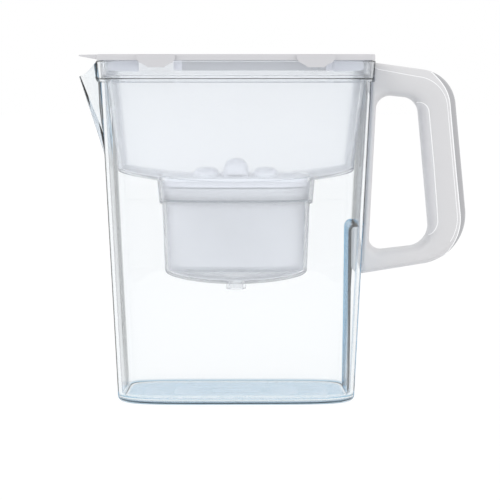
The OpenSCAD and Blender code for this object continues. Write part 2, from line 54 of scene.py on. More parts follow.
# %% Camera
lens = bpy.data.cameras.new("camera")
lens.lens = 131.98
lens.sensor_width = 36
camera = bpy.data.objects.new("camera", lens)
camera.location = (0, -1.3, 0.243)
camera.rotation_euler = (math.radians(90 - 6.103), 0, math.radians(-0.4376))
bpy.context.scene.collection.objects.link(camera)
bpy.context.scene.camera = camera
print("camera", tuple(camera.location))

# %% [markdown]
# Clear and white plastic look best in soft, even light. The world is white to the
# camera and in reflections and refractions, and dimmer as a lamp. Two large soft
# lamps give the gentle shading on the lid and the handle. Light crosses up to eight
# faces of plastic on its way in and out, so it is followed for more bounces. Every
# tree of nodes in this file is built with two helpers: add makes a node, and wire
# gives each of its sockets a link or a plain value.

# %% World and lamps
scene = bpy.context.scene
scene.view_settings.view_transform = "Standard"
BOUNCES = 28
scene.cycles.max_bounces = BOUNCES
scene.cycles.transmission_bounces = BOUNCES


def wire(made, sockets):
    """Gives each named socket of a node a link, or a plain value of its own."""
    for key, value in sockets.items():
        if isinstance(value, bpy.types.NodeSocket):
            made.id_data.links.new(value, made.inputs[key])
        else:
            made.inputs[key].default_value = value
    return made


def add(tree, kind, sockets=None, **settings):
    """A new node, with its settings made before its sockets."""
    made = tree.nodes.new(kind)
    for key, value in settings.items():
        setattr(made, key, value)
    return wire(made, sockets or {})


def maths(tree, operation, first, second=None):
    sockets = {0: first} if second is None else {0: first, 1: second}
    return add(tree, "ShaderNodeMath", sockets, operation=operation).outputs[0]


def mix_shaders(tree, factor, first, second):
    return add(tree, "ShaderNodeMixShader", {"Fac": factor, 1: first, 2: second}).outputs[0]


def seen_directly(tree):
    """1 for rays that show the background, straight or in clear or shiny plastic."""
    path = add(tree, "ShaderNodeLightPath").outputs
    straight = maths(tree, "MAXIMUM", path["Is Camera Ray"], path["Is Glossy Ray"])
    return maths(tree, "MAXIMUM", straight, path["Is Transmission Ray"])


def bare_tree(owner):
    owner.use_nodes = True
    owner.node_tree.nodes.clear()
    return owner.node_tree


scene.world = bpy.data.worlds.new("studio")
tree = bare_tree(scene.world)
dim = add(tree, "ShaderNodeBackground", {"Color": (0.98, 0.985, 1, 1), "Strength": 0.93})
white = add(tree, "ShaderNodeBackground", {"Color": (1, 1, 1, 1), "Strength": 1})
sky = mix_shaders(tree, seen_directly(tree), dim.outputs[0], white.outputs[0])
add(tree, "ShaderNodeOutputWorld", {"Surface": sky})


def soft_lamp(name, place, size, power, aim=(0, 0, 0.14)):
    data = bpy.data.lights.new(name, "AREA")
    data.shape, data.size, data.size_y = "RECTANGLE", size[0], size[1]
    data.energy = power
    lamp = bpy.data.objects.new(name, data)
    lamp.location = place
    away = np.array(place) - np.array(aim)
    lamp.rotation_euler = (math.acos(away[2] / np.linalg.norm(away)), 0,
                           math.atan2(away[1], away[0]) + math.pi / 2)
    scene.collection.objects.link(lamp)
    print(name, place, power, "W")


soft_lamp("lamp_left", (-1.1, -1.2, 1.3), (0.9, 0.9), 6)
soft_lamp("lamp_right", (1.3, -0.5, 0.9), (0.5, 1.0), 3)

# %% [markdown]
# The floor is plain and white. Most of what the camera sees of it is its own white,
# so it melts into the background, and the rest still takes the jug's shadow.

# %% Floor
OWN_WHITE, FLOOR_HALF = 0.85, 6
floor_mesh = bpy.data.meshes.new("floor")
corners = [(x * FLOOR_HALF, y * FLOOR_HALF, 0) for x, y in ((-1, -1), (1, -1), (1, 1), (-1, 1))]
floor_mesh.from_pydata(corners, [], [(0, 1, 2, 3)])
floor = bpy.data.objects.new("floor", floor_mesh)
scene.collection.objects.link(floor)
paper = bpy.data.materials.new("white_floor")
tree = bare_tree(paper)
matt = add(tree, "ShaderNodeBsdfDiffuse", {"Color": (0.95, 0.95, 0.95, 1)})
glow = add(tree, "ShaderNodeEmission", {"Strength": 1.04})
share = maths(tree, "MULTIPLY", seen_directly(tree), OWN_WHITE)
sheet = mix_shaders(tree, share, matt.outputs[0], glow.outputs[0])
add(tree, "ShaderNodeOutputMaterial", {"Surface": sheet})
floor_mesh.materials.append(paper)
print("floor", 2 * FLOOR_HALF, "m square, its own white for", OWN_WHITE, "of what is seen")

# %% [markdown]
# The white parts are injection-moulded plastic with a fine satin grain. Real
# mouldings are never one flat colour: the tone drifts a little over the part, and
# the grain breaks up the shine. Both come from noise in the piece's own coordinates,
# so they stay with the piece when it moves.

# %% Moulded plastic


def new_finish(name):
    """A new material with its tree, its main shader and the piece's own coordinates."""
    material = bpy.data.materials.new(name)
    material.use_nodes = True
    tree = material.node_tree
    place = add(tree, "ShaderNodeTexCoord").outputs["Object"]
    return material, tree, tree.nodes["Principled BSDF"], place


def noise(tree, place, scale, detail):
    sockets = {"Vector": place, "Scale": scale, "Detail": detail}
    return add(tree, "ShaderNodeTexNoise", sockets).outputs["Fac"]


def mix_colours(tree, factor, first, second):
    sockets = {"Factor": factor, "A": first, "B": second}
    return add(tree, "ShaderNodeMix", sockets, data_type="RGBA").outputs["Result"]


def remap(tree, value, **ends):
    """Map Range, with ends such as from_min given in words."""
    sockets = {key.replace("_", " ").title(): end for key, end in ends.items()}
    return add(tree, "ShaderNodeMapRange", {"Value": value, **sockets}).outputs["Result"]


def bump(tree, height, strength, distance):
    sockets = {"Height": height, "Strength": strength, "Distance": distance}
    return add(tree, "ShaderNodeBump", sockets).outputs["Normal"]


def plastic(name, colour, roughness, drift=0.03, grain=0.00003, grain_size=2600):
    """Satin moulded plastic: a slow drift of tone and a fine grain in the gloss."""
    material, tree, shader, place = new_finish(name)
    darker = [c * (1 - drift) for c in colour]
    slow = noise(tree, place, scale=22, detail=2)
    fine = noise(tree, place, scale=grain_size, detail=1)
    wire(shader, {
        "Base Color": mix_colours(tree, slow, (*darker, 1), (*colour, 1)),
        "Roughness": remap(tree, fine, to_min=roughness - 0.05, to_max=roughness + 0.07),
        "Normal": bump(tree, fine, strength=0.35, distance=grain),
        "IOR": 1.5})
    return material


lid_finish = plastic("lid_plastic", (0.61, 0.605, 0.62), 0.38)
# The chute and the skirts are the lid's own plastic, painted lighter: painted light where they hang
# inside the jug.
chute_painted_light = plastic("chute_plastic", (0.97, 0.955, 1), 0.38)
skirt_painted_light = plastic("skirt_plastic", (0.69, 0.69, 0.735), 0.38)
handle_finish = plastic("handle_plastic", (0.67, 0.665, 0.67), 0.36)
# The back cover is the handle's own plastic painted darker: painted shade on the handle's outer band.
cover_painted_shade = plastic("handle_cover_plastic", (0.42, 0.42, 0.43), 0.34)
# The finger pad is painted a little lighter than the frame: painted light on the finger side.
pad_painted_light = plastic("grip_pad_plastic", (0.7, 0.695, 0.705), 0.45, grain=0.00006)
# Pure white: painted highlight for the bright lines along the handle's joints.
bead_painted_highlight = plastic("parting_bead_plastic", (1, 1, 1), 0.3)
cartridge_finish = plastic("cartridge_plastic", (0.94, 0.93, 0.94), 0.42)
print("satin plastics made")

# %% [markdown]
# The jug is clear plastic. A thin wall looks colourless, and where light goes a long
# way through it, it turns blue. That is what Volume Absorption does: the colour comes
# from the distance that light travels inside. The thin blue lines along its edges are
# painted shade: where a surface is seen edge-on, Layer Weight lets a tinted refraction
# take over from the glass. The foot of the jug is painted a darker blue by its height,
# painted shade at the foot. A weak noise bump stands for a moulding's slight waves.
# Light that is on its way to what stands inside passes straight through: Light Path
# tells those rays apart, and sends them through a Transparent shader.

# %% Clear plastic


def let_lamplight_in(tree, surface, colour):
    """Lets light from lamps and sky reach what stands behind the plastic."""
    path = add(tree, "ShaderNodeLightPath").outputs
    open_way = add(tree, "ShaderNodeBsdfTransparent", {"Color": (*colour, 1)}).outputs[0]
    for ray in ("Is Shadow Ray", "Is Diffuse Ray"):
        surface = mix_shaders(tree, path[ray], surface, open_way)
    wire(tree.nodes["Material Output"], {"Surface": surface})


def slant(tree, **ends):
    """0 where a surface faces the eye, rising to 1 where it is seen edge-on."""
    facing = add(tree, "ShaderNodeLayerWeight", {"Blend": 0.5}).outputs["Facing"]
    return remap(tree, facing, **ends)


def clear_plastic(name, tint, density, edge_painted_shade, foot_painted_shade):
    material, tree, shader, place = new_finish(name)
    height = add(tree, "ShaderNodeSeparateXYZ", {0: place}).outputs["Z"]
    waves = noise(tree, place, scale=35, detail=1)
    # The lowest 3 mm of the jug turn to a darker blue by height: painted shade at the foot.
    low = remap(tree, height, from_min=3.2 * MM, from_max=0.5 * MM)
    wire(shader, {
        "Base Color": mix_colours(tree, low, (1, 1, 1, 1), (*foot_painted_shade, 1)),
        "Normal": bump(tree, waves, strength=0.12, distance=0.0002),
        "Transmission Weight": 1, "Roughness": 0.015, "IOR": 1.5})
    # Edge-on faces turn to a refraction in the edge colour: painted shade along the jug's edges.
    edge = add(tree, "ShaderNodeBsdfRefraction", {"Color": (*edge_painted_shade, 1), "IOR": 1.05})
    with_painted_edge_shade = mix_shaders(tree, slant(tree, from_min=0.75, from_max=0.93),
                           shader.outputs[0], edge.outputs[0])
    let_lamplight_in(tree, with_painted_edge_shade, (0.98, 0.99, 1))
    inside = add(tree, "ShaderNodeVolumeAbsorption", {"Color": (*tint, 1), "Density": density})
    wire(tree.nodes["Material Output"], {"Volume": inside.outputs[0]})
    return material


clear_finish = clear_plastic("clear_blue_plastic", (0.06, 0.42, 0.64), 12,
                             edge_painted_shade=(0.2, 0.42, 0.6), foot_painted_shade=(0.16, 0.36, 0.52))
print("clear plastic made")

# %% [markdown]
# The hopper is milky: light passes through it, but it blurs what is behind. Part of
# the light goes through with a rough refraction, and the rest is scattered back as
# from white plastic, which leaves the cartridge visible as a soft shape. Walls seen
# edge-on get painted shade, a darker grey-blue, and lamplight passes straight through, as in the jug.

# %% Milky plastic


def milky_plastic(name, colour, through, roughness):
    material, tree, shader, place = new_finish(name)
    cloud = noise(tree, place, scale=18, detail=3)
    tone = mix_colours(tree, cloud, (*[c * 0.985 for c in colour], 1), (*colour, 1))
    wire(shader, {
        # Walls seen edge-on turn grey-blue: painted shade along the hopper's and the cup's edges.
        "Base Color": mix_colours(tree, slant(tree, from_min=0.6), tone, (0.42, 0.44, 0.52, 1)),
        "Roughness": remap(tree, cloud, to_min=roughness - 0.03, to_max=roughness + 0.04),
        "Transmission Weight": through, "IOR": 1.15})
    let_lamplight_in(tree, shader.outputs[0], colour)
    return material


milky_finish = milky_plastic("milky_plastic", (0.985, 0.987, 0.995), 0.9, 0.2)
cup_finish = milky_plastic("cartridge_cup_plastic", (0.99, 0.985, 0.99), 0.8, 0.3)
print("milky plastic made")

# %% [markdown]
# Small helpers for the mesh work. Sizes are written in millimetres, as on a drawing,
# and each piece becomes metres when its mesh is made. Booleans use the Manifold
# solver, which is quick and keeps every shell closed.

# %% Mesh helpers


def piece_of(name, points, faces):
    """A mesh object from points in millimetres, with its faces pointing outwards."""
    mesh = bpy.data.meshes.new(name)
    mesh.from_pydata((np.asarray(points, float) * MM).tolist(), [], faces)
    work = bmesh.new()
    work.from_mesh(mesh)
    bmesh.ops.recalc_face_normals(work, faces=work.faces)
    work.to_mesh(mesh)
    work.free()
    piece = bpy.data.objects.new(name, mesh)
    scene.collection.objects.link(piece)
    return piece


def prism(outline, low, high, axis):
    """An outline drawn out along Y (outline in X and Z) or along Z (outline in X and Y)."""
    def lift(point, height):
        return (point[0], height, point[1]) if axis == "Y" else (point[0], point[1], height)
    count = len(outline)
    points = [lift(p, low) for p in outline] + [lift(p, high) for p in outline]
    faces = [tuple(range(count)), tuple(range(2 * count - 1, count - 1, -1))]
    faces += [(i, (i + 1) % count, count + (i + 1) % count, count + i) for i in range(count)]
    return piece_of("tool", points, faces)


def block(low, high):
    return prism([(low[0], low[1]), (high[0], low[1]), (high[0], high[1]), (low[0], high[1])],
                 low[2], high[2], "Z")


def wrap(points, name="tool"):
    """The tightest closed skin round a cloud of points."""
    work = bmesh.new()
    for point in points:
        work.verts.new([c * MM for c in point])
    skin = bmesh.ops.convex_hull(work, input=work.verts)
    loose = [part for key in ("geom_interior", "geom_unused") for part in skin[key]]
    bmesh.ops.delete(work, geom=list({v for v in loose if isinstance(v, bmesh.types.BMVert)}),
                     context="VERTS")
    bmesh.ops.recalc_face_normals(work, faces=work.faces)
    mesh = bpy.data.meshes.new(name)
    work.to_mesh(mesh)
    work.free()
    piece = bpy.data.objects.new(name, mesh)
    scene.collection.objects.link(piece)
    return piece


def circle(centre, radius, z, count=48):
    return [(centre[0] + radius * math.cos(2 * math.pi * i / count),
             centre[1] + radius * math.sin(2 * math.pi * i / count), z) for i in range(count)]


def bake(piece):
    """Makes what a piece's modifiers show its plain mesh."""
    shown = piece.evaluated_get(bpy.context.evaluated_depsgraph_get())
    mesh = bpy.data.meshes.new_from_object(shown)
    piece.modifiers.clear()
    piece.data = mesh
    return piece


def carve(piece, how, *tools):
    """Joins tools to a piece (UNION), cuts them off (DIFFERENCE) or keeps what they share."""
    for tool in tools:
        step = piece.modifiers.new("carve", "BOOLEAN")
        step.operation, step.solver, step.object = how, "MANIFOLD", tool
    bake(piece)
    for tool in tools:
        bpy.data.objects.remove(tool)
    return piece


def settle(piece, name, body, finish, node=None, sharp=30):
    """Names a finished piece, smooths it up to its sharp edges and hands it to the frame."""
    piece.name = name
    work = bmesh.new()
    work.from_mesh(piece.data)
    bmesh.ops.remove_doubles(work, verts=work.verts, dist=1e-7)
    bmesh.ops.dissolve_degenerate(work, edges=work.edges, dist=1e-7)
    open_edges = sum(not edge.is_manifold for edge in work.edges)
    work.to_mesh(piece.data)
    triangles = sum(len(face.verts) - 2 for face in work.faces)
    work.free()
    piece.data.materials.clear()
    piece.data.materials.append(finish)
    piece.data.shade_smooth()
    piece.data.set_sharp_from_angle(angle=math.radians(sharp))
    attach(piece, body)
    if node:
        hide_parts(node)
    print(name, triangles, "triangles,", open_edges, "open edges")
    return piece


# %% [markdown]
# The jug, the hopper, the cartridge and the lid share one rule: each is a stack of
# levels, and each level is a rounded oblong with its own half-length, half-width,
# height and squareness. A tree of Geometry Nodes turns a list of levels into a skin.
# It makes a grid, and moves each of its points to its place on its level. The sag
# bends a level down in the middle, as the hopper's floor does.

# %% Levels
JUG_SQUARE, POCKET_SQUARE = 5, 3.4
POINTS_ROUND = 220


def level(a, b, z, square=JUG_SQUARE, sag=0, span=83.5):
    return np.array([a, b, z, square, sag, span], float)


def soften(levels, radii):
    """Rounds the corners of the stack, by {index of the level: radius}, with a short curve."""
    out = []
    for i, here in enumerate(levels):
        if i not in radii:
            out.append(here)
            continue
        ends = []
        for other in (levels[i - 1], levels[i + 1]):
            gap = other - here
            length = math.hypot(gap[0], gap[2])
            ends.append(here + gap * min(0.48, radii[i] / length))
        out += [(1 - t) ** 2 * ends[0] + 2 * t * (1 - t) * here + t * t * ends[1]
                for t in np.linspace(0, 1, 6)]
    return out


def turns(square=JUG_SQUARE, a=94, b=52):
    """Angles round the oblong, spaced so that flats and corners both get enough points."""
    quarter = np.linspace(0, 1, 20001) ** 3 * math.pi / 4
    t = np.concatenate([quarter, math.pi / 2 - quarter[::-1][1:]])
    x = a * np.cos(t) ** (2 / square)
    y = b * np.sin(t) ** (2 / square)
    run = np.hypot(np.diff(x), np.diff(y))
    head = np.unwrap(np.arctan2(np.diff(y), np.diff(x)))
    bend = np.abs(np.diff(head, prepend=head[0]))
    way = np.concatenate([[0], np.cumsum(run / run.sum() + 1.6 * bend / bend.sum())])
    steps = POINTS_ROUND // 4
    first = np.interp(np.linspace(0, way[-1], steps + 1)[:-1], way, t)
    return np.concatenate([first + k * math.pi / 2 if k % 2 == 0 else
                           k * math.pi / 2 + math.pi / 2 - np.append(first[1:], math.pi / 2)[::-1]
                           for k in range(4)])


TURNS = turns()
print(len(TURNS), "points round each level")

# %% [markdown]
# The tree itself. The list arrives as points that carry the numbers of the levels as
# attributes. Sample Index reads them for the level and the turn of each grid point,
# and a few Math nodes work out the oblong.

# %% The skin over the levels


def whole(group, operation, first, second):
    sockets = {0: first, 1: second}
    return add(group, "FunctionNodeIntegerMath", sockets, operation=operation).outputs[0]


def oblong_side(group, share, square, half):
    """half x sign(share) x |share| to the power of 2 / square."""
    power = maths(group, "DIVIDE", 2.0, square)
    size = maths(group, "POWER", maths(group, "ABSOLUTE", share), power)
    signed = maths(group, "MULTIPLY", size, maths(group, "SIGN", share))
    return maths(group, "MULTIPLY", signed, half)


def start_tree(name, result, inputs):
    """A new tree with inputs as {name: (kind, value)}, a finish, and one result."""
    group = bpy.data.node_groups.new(name, "GeometryNodeTree")
    for key, (kind, value) in {**inputs, "Finish": ("Material", None)}.items():
        socket = group.interface.new_socket(key, in_out="INPUT", socket_type="NodeSocket" + kind)
        if value is not None:
            socket.default_value = value
    group.interface.new_socket(result, in_out="OUTPUT", socket_type="NodeSocketGeometry")
    return group, add(group, "NodeGroupInput").outputs


def end_tree(group, geometry, finish):
    """Every tree ends in Realize Instances and Set Material."""
    real = add(group, "GeometryNodeRealizeInstances", {0: geometry}).outputs[0]
    paint = add(group, "GeometryNodeSetMaterial", {"Geometry": real, "Material": finish})
    add(group, "NodeGroupOutput", {0: paint.outputs[0]})
    return group


def skin_tree():
    group, given = start_tree("skin_over_levels", "Skin", {
        "List": ("Geometry", None), "Levels": ("Int", 2), "Points Round": ("Int", 48)})
    seam = whole(group, "ADD", given["Points Round"], 1)
    grid = add(group, "GeometryNodeMeshGrid", {"Vertices X": given["Levels"], "Vertices Y": seam})
    index = add(group, "GeometryNodeInputIndex").outputs[0]
    stage = whole(group, "DIVIDE_FLOOR", index, seam)
    place = whole(group, "MODULO", whole(group, "MODULO", index, seam), given["Points Round"])

    def read(name, at):
        named = add(group, "GeometryNodeInputNamedAttribute", {"Name": name}, data_type="FLOAT")
        return add(group, "GeometryNodeSampleIndex", {
            "Geometry": given["List"], "Value": named.outputs["Attribute"], "Index": at},
            data_type="FLOAT").outputs["Value"]

    turn = read("turn", place)
    square = read("square", stage)
    x = oblong_side(group, maths(group, "COSINE", turn), square, read("half_length", stage))
    y = oblong_side(group, maths(group, "SINE", turn), square, read("half_width", stage))
    out = maths(group, "POWER", maths(group, "DIVIDE", x, read("span", stage)), 2.0)
    drop = maths(group, "MULTIPLY", read("sag", stage), maths(group, "SUBTRACT", 1.0, out))
    height = maths(group, "SUBTRACT", read("height", stage), drop)
    spot = add(group, "ShaderNodeCombineXYZ", {0: x, 1: y, 2: height}).outputs[0]
    move = add(group, "GeometryNodeSetPosition", {
        "Geometry": grid.outputs["Mesh"], "Position": spot})
    merge = add(group, "GeometryNodeMergeByDistance", {
        "Geometry": move.outputs[0], "Distance": 1e-6})
    turned = add(group, "GeometryNodeFlipFaces", {0: merge.outputs[0]})
    return end_tree(group, turned.outputs[0], given["Finish"])


SKIN_TREE = skin_tree()


def set_inputs(piece, group, **values):
    """Adds the tree to a piece and sets its inputs by the identifiers of their sockets."""
    modifier = piece.modifiers.new(group.name, "NODES")
    modifier.node_group = group
    for socket in group.interface.items_tree:
        key = socket.name.replace(" ", "_").lower()
        if socket.in_out == "INPUT" and key in values:
            modifier[socket.identifier] = values[key]
    return piece


def stack(levels, finish=None, name="tool"):
    """A closed skin over a list of levels, from the first up to the last."""
    count = max(len(levels), len(TURNS))
    mesh = bpy.data.meshes.new(name)
    mesh.from_pydata([(0, 0, 0)] * count, [], [])
    table = np.zeros((count, 6))
    table[:len(levels)] = levels
    table[:, [0, 1, 2, 4, 5]] *= MM
    columns = dict(zip(("half_length", "half_width", "height", "square", "sag", "span"), table.T))
    columns["turn"] = np.resize(TURNS, count)
    for key, column in columns.items():
        mesh.attributes.new(key, "FLOAT", "POINT").data.foreach_set("value", column.astype("f"))
    piece = bpy.data.objects.new(name, mesh)
    scene.collection.objects.link(piece)
    set_inputs(piece, SKIN_TREE, levels=len(levels), points_round=len(TURNS),
               finish=finish or lid_finish)
    return bake(piece)


def capped(levels):
    """Closes a stack at its first and last level, with a point in the middle of each."""
    first, last = levels[0].copy(), levels[-1].copy()
    for end in (first, last):
        end[:2] = 0
    return [first, *levels, last]


def closed(levels):
    """Closes a stack on itself, as a ring."""
    return [*levels, levels[0]]


# %% [markdown]
# The jug's sizes. Its wall leans out evenly from the table up to the rim band. The
# band is thicker outside, and inside it leaves a ledge that carries the hopper.

# %% Sizes of the jug
RIM_Z, BAND_Z, LEDGE_Z = 238.4, 224.0, 226.5
WALL, FLOOR, BAND_WALL = 2.5, 2.7, 2.0
TIP_Z, SPOUT_Z = 227.2, 166.9


def jug_a(z):
    return 83.7 + 10.6 * z / BAND_Z


def jug_b(z):
    return 44.5 + 7.5 * z / BAND_Z


def band_out(z):
    return 1.3 + 1.5 * (z - BAND_Z) / 14.4


def wall_level(z, inset=0):
    return level(jug_a(z) - inset, jug_b(z) - inset, z)


def band_level(z, inset=0):
    return level(94.3 + band_out(z) - inset, 52 + band_out(z) - inset, z)


print("jug", 2 * jug_a(0), "x", 2 * jug_b(0), "mm at the table")

# %% [markdown]
# The jug's body is one stack: out over the floor, up the outside, over the rim, and
# down the inside. Softened corners at the base, the rim and the ledge catch the
# light as a moulding's do.

# %% Jug wall
jug = stack(capped(soften([
    wall_level(0, 12),
    level(jug_a(0), jug_b(0), 0),
    wall_level(BAND_Z),
    band_level(BAND_Z),
    band_level(RIM_Z),
    band_level(RIM_Z, BAND_WALL),
    band_level(LEDGE_Z, BAND_WALL),
    wall_level(LEDGE_Z, WALL),
    wall_level(FLOOR, WALL),
    wall_level(FLOOR, WALL + 14),
], {1: 3.2, 2: 0.5, 3: 0.5, 4: 0.9, 5: 0.7, 6: 0.6, 7: 0.6, 8: 4.5})))
print("jug wall", len(jug.data.polygons), "faces")


def jug_core(inset, low, high):
    """The solid inside the jug's outer skin, for cutting."""
    return stack(capped([wall_level(low, inset), wall_level(BAND_Z, inset),
                         level(95.6 - inset, 53.3 - inset, BAND_Z + 0.01),
                         band_level(high, inset)]))


# %% [markdown]
# The spout is a wedge that runs down the wall and ends in a point. Wrapping a skin
# round a few circles gives it. The same wedge, drawn smaller, hollows it out, and a
# curved cut lets its lip fall from the rim to the tip.

# %% Spout
REACH, NOSE, ROOT_HALF, SLOPE = 16.3, 3.4, 19, 3.4


def spout_wedge(inset, root):
    nose = (-jug_a(BAND_Z) - REACH + NOSE, 0)
    cloud = []
    for z in (TIP_Z, RIM_Z):
        cloud += circle(nose, NOSE - inset, z)
        for side in (-1, 1):
            cloud += circle((-jug_a(BAND_Z) + root, side * (ROOT_HALF - inset)), 0.4, z, 12)
    for z in (SPOUT_Z + SLOPE * inset, SPOUT_Z + SLOPE * inset + 1):
        cloud += circle((-jug_a(SPOUT_Z) + root, 0), 0.8, z, 16)
    return wrap(cloud)


lip = [(-97.1 * (1 - s) - 111.6 * s + 0.2, TIP_Z + 11.2 * (1 - s) ** 1.6)
       for s in np.linspace(0, 1, 24)]
above_lip = prism(lip + [(-160, TIP_Z), (-160, RIM_Z + 20), (-97.1, RIM_Z + 20)], -40, 40, "Y")
inside_wall = jug_core(WALL / 2, SPOUT_Z - 20, RIM_Z + 1)
spout = carve(spout_wedge(0, 1), "DIFFERENCE", inside_wall, above_lip)
channel = carve(spout_wedge(2, WALL + 4), "DIFFERENCE", jug_core(-0.05, BAND_Z, RIM_Z + 1))
print("spout", len(spout.data.polygons), "faces")

# %% [markdown]
# Two seats carry the handle: a recess in the end wall for its foot, backed by a
# second wall inside, and a rail under the rim band that its top hooks over.

# %% Handle seats and the finished jug


def corner(before, here, after, radius, count):
    """Points on the arc that rounds one corner of an outline."""
    before, here, after = (np.array(p, float) for p in (before, here, after))
    u = (before - here) / np.linalg.norm(before - here)
    v = (after - here) / np.linalg.norm(after - here)
    half = math.acos(np.clip(u @ v, -1, 1)) / 2
    centre = here + (u + v) / np.linalg.norm(u + v) * radius / math.sin(half)
    start, end = (here + d * radius / math.tan(half) - centre for d in (u, v))
    turn = math.pi - 2 * half
    return [centre + (start * math.sin(turn * (1 - t)) + end * math.sin(turn * t)) / math.sin(turn)
            for t in np.linspace(0, 1, count + 1)]


def outline(points, radii, arc_count, side_count=0):
    """A closed outline with rounded corners and some points along each side."""
    n = len(points)
    arcs = [corner(points[i - 1], points[i], points[(i + 1) % n], radii[i], arc_count)
            for i in range(n)]
    out = []
    for i, arc in enumerate(arcs):
        out += arc
        out += [arc[-1] + (arcs[(i + 1) % n][0] - arc[-1]) * j / (side_count + 1)
                for j in range(1, side_count + 1)]
    return np.array(out)


def recess(grow):
    x, top = 82.0 - grow, 122 + grow
    edge = outline([(x, -5), (x, top), (167, top), (167, -5)], [0.1, 2.5 + grow, 0.1, 0.1], 12)
    return prism(edge, -15.5 - grow, 15.5 + grow, "Y")


seat = carve(recess(WALL), "INTERSECT", jug_core(0.3, 1, LEDGE_Z))
rail = block((92.3, -8, 203), (96.16, 8, 224.5))
carve(jug, "UNION", spout, seat, rail)
carve(jug, "DIFFERENCE", channel, recess(0))
settle(jug, "jug", "jug", clear_finish, "jug_body", 35)

# %% [markdown]
# The hopper is one long stack as well: the spigot's hub, the dished floor of the
# filter pocket, its wall with the shoulder, the sagging floor, the body and the
# flange, and then the same way back down inside, a wall's thickness in.

# %% Hopper
HOPPER_WALL, HOPPER_END, SAG = 2.0, 162.0, 8.6
SHOULDER_Z, POCKET_Z, POCKET_SAG = 138.8, 89.0, 5.4
DECK_Z, LID_Z = 155.4, 238.7
body_a, body_b = jug_a(LEDGE_Z) - 3.9, jug_b(LEDGE_Z) - 3.9
bottom_a, bottom_b = body_a - 7, body_b - 4.7


def upper_in(z):
    return 1.6 * (DECK_Z - z) / (DECK_Z - SHOULDER_Z)


def lower_in(z):
    return 2 + 1.6 * (1 + (SHOULDER_Z - z) / 49.8)


def pocket_level(inset, z, sag=0, span=83.5):
    return level(55.8 - inset, 39.2 - inset, z, POCKET_SQUARE, sag, span)


def dish_level(inset, z):
    return pocket_level(inset, z, POCKET_SAG, 55.8 - lower_in(POCKET_Z))


def floor_levels(inset, z, count=5):
    """The sagging floor, from the body's edge in to the pocket's mouth."""
    edge = level(bottom_a - inset, bottom_b - inset, z, JUG_SQUARE, SAG, bottom_a)
    mouth = level(55.8 - inset, 39.2 - inset, z, POCKET_SQUARE, SAG, bottom_a)
    return [edge + (mouth - edge) * t for t in np.linspace(0, 1, count)]


def rim_level(z, inset):
    made = band_level(min(z, RIM_Z), BAND_WALL + 0.4 + inset)
    made[2] = z
    return made


w = HOPPER_WALL
dish = [dish_level(lower_in(POCKET_Z) + d, POCKET_Z) for d in (30, 22, 14, 5)]
outside = [
    level(9, 9, POCKET_Z - POCKET_SAG, 2),
    *dish,
    dish_level(lower_in(POCKET_Z), POCKET_Z + 0.4),
    dish_level(lower_in(POCKET_Z), POCKET_Z + 6),
    pocket_level(lower_in(SHOULDER_Z), SHOULDER_Z),
    pocket_level(upper_in(SHOULDER_Z), SHOULDER_Z),
    *floor_levels(0, HOPPER_END)[::-1],
    level(bottom_a, bottom_b, HOPPER_END + 5, JUG_SQUARE, SAG, bottom_a),
    level(body_a, body_b, LEDGE_Z),
    rim_level(LEDGE_Z, 0),
    rim_level(LID_Z, 0),
]
inside = [
    rim_level(LID_Z, w - 0.2),
    rim_level(LEDGE_Z + 2, w - 0.2),
    level(body_a - w, body_b - w, LEDGE_Z + 2),
    level(bottom_a - w, bottom_b - w, HOPPER_END + w + 5, JUG_SQUARE, SAG, bottom_a),
    *floor_levels(w, HOPPER_END + w),
    pocket_level(upper_in(SHOULDER_Z) + w, SHOULDER_Z + w),
    pocket_level(lower_in(SHOULDER_Z) + w, SHOULDER_Z + w),
    dish_level(lower_in(POCKET_Z) + w, POCKET_Z + 6 + w),
    dish_level(lower_in(POCKET_Z) + w, POCKET_Z + 0.4 + w),
    *[d + [-w, -w, w, 0, 0, 0] for d in dish[::-1]],
    level(9, 9, POCKET_Z - POCKET_SAG + w, 2),
]
last = len(outside)
hopper = stack(capped(soften(outside + inside, {
    5: 2.6, 7: 0.5, 8: 0.5, 9: 1.2, 13: 2.4, 15: 1, 16: 0.6, 17: 0.4,
    last: 0.4, last + 1: 1, last + 2: 0.8, last + 4: 2.2, last + 8: 1.2,
    last + 9: 0.5, last + 10: 0.5, last + 12: 2.2})))
hub = POCKET_Z - POCKET_SAG
carve(hopper, "UNION", wrap(circle((0, 0), 7, hub - 7) + circle((0, 0), 7, hub + 1)))
carve(hopper, "DIFFERENCE", wrap(circle((0, 0), 4.5, hub - 8) + circle((0, 0), 4.5, hub + 4)))
settle(hopper, "hopper_bowl", "hopper", milky_finish, "hopper", 35)

# %% [markdown]
# The cartridge stands in the pocket with a small gap all round. Its cup narrows
# below the collar, and water leaves it through slots in its floor.

# %% Cartridge cup and seal
SEAT_Z, COLLAR_Z, CUP_Z = 140.8, 142.3, 92.0
CUP_WALL, CUP_FLOOR = 1.6, 2


def cart_level(inset, z):
    step = lower_in(z - w) if z < SEAT_Z else upper_in(z)
    return pocket_level(w + 0.6 + inset + step, z)


cup = stack(capped(soften([
    cart_level(0, CUP_Z),
    cart_level(0, SEAT_Z - 0.01),
    cart_level(2, COLLAR_Z),
    cart_level(0, COLLAR_Z),
    cart_level(0, DECK_Z),
    cart_level(CUP_WALL, DECK_Z),
    cart_level(CUP_WALL, COLLAR_Z + 3),
    cart_level(CUP_WALL, SEAT_Z - 0.01),
    cart_level(CUP_WALL, CUP_Z + CUP_FLOOR),
], {4: 0.3, 5: 0.3})))
slots = [block((x - 1, -18, CUP_Z - 1), (x + 1, 18, CUP_Z + 4)) for x in range(-36, 37, 9)]
carve(cup, "DIFFERENCE", *slots)
settle(cup, "cartridge_body", "cartridge", cup_finish, "cartridge_cup")

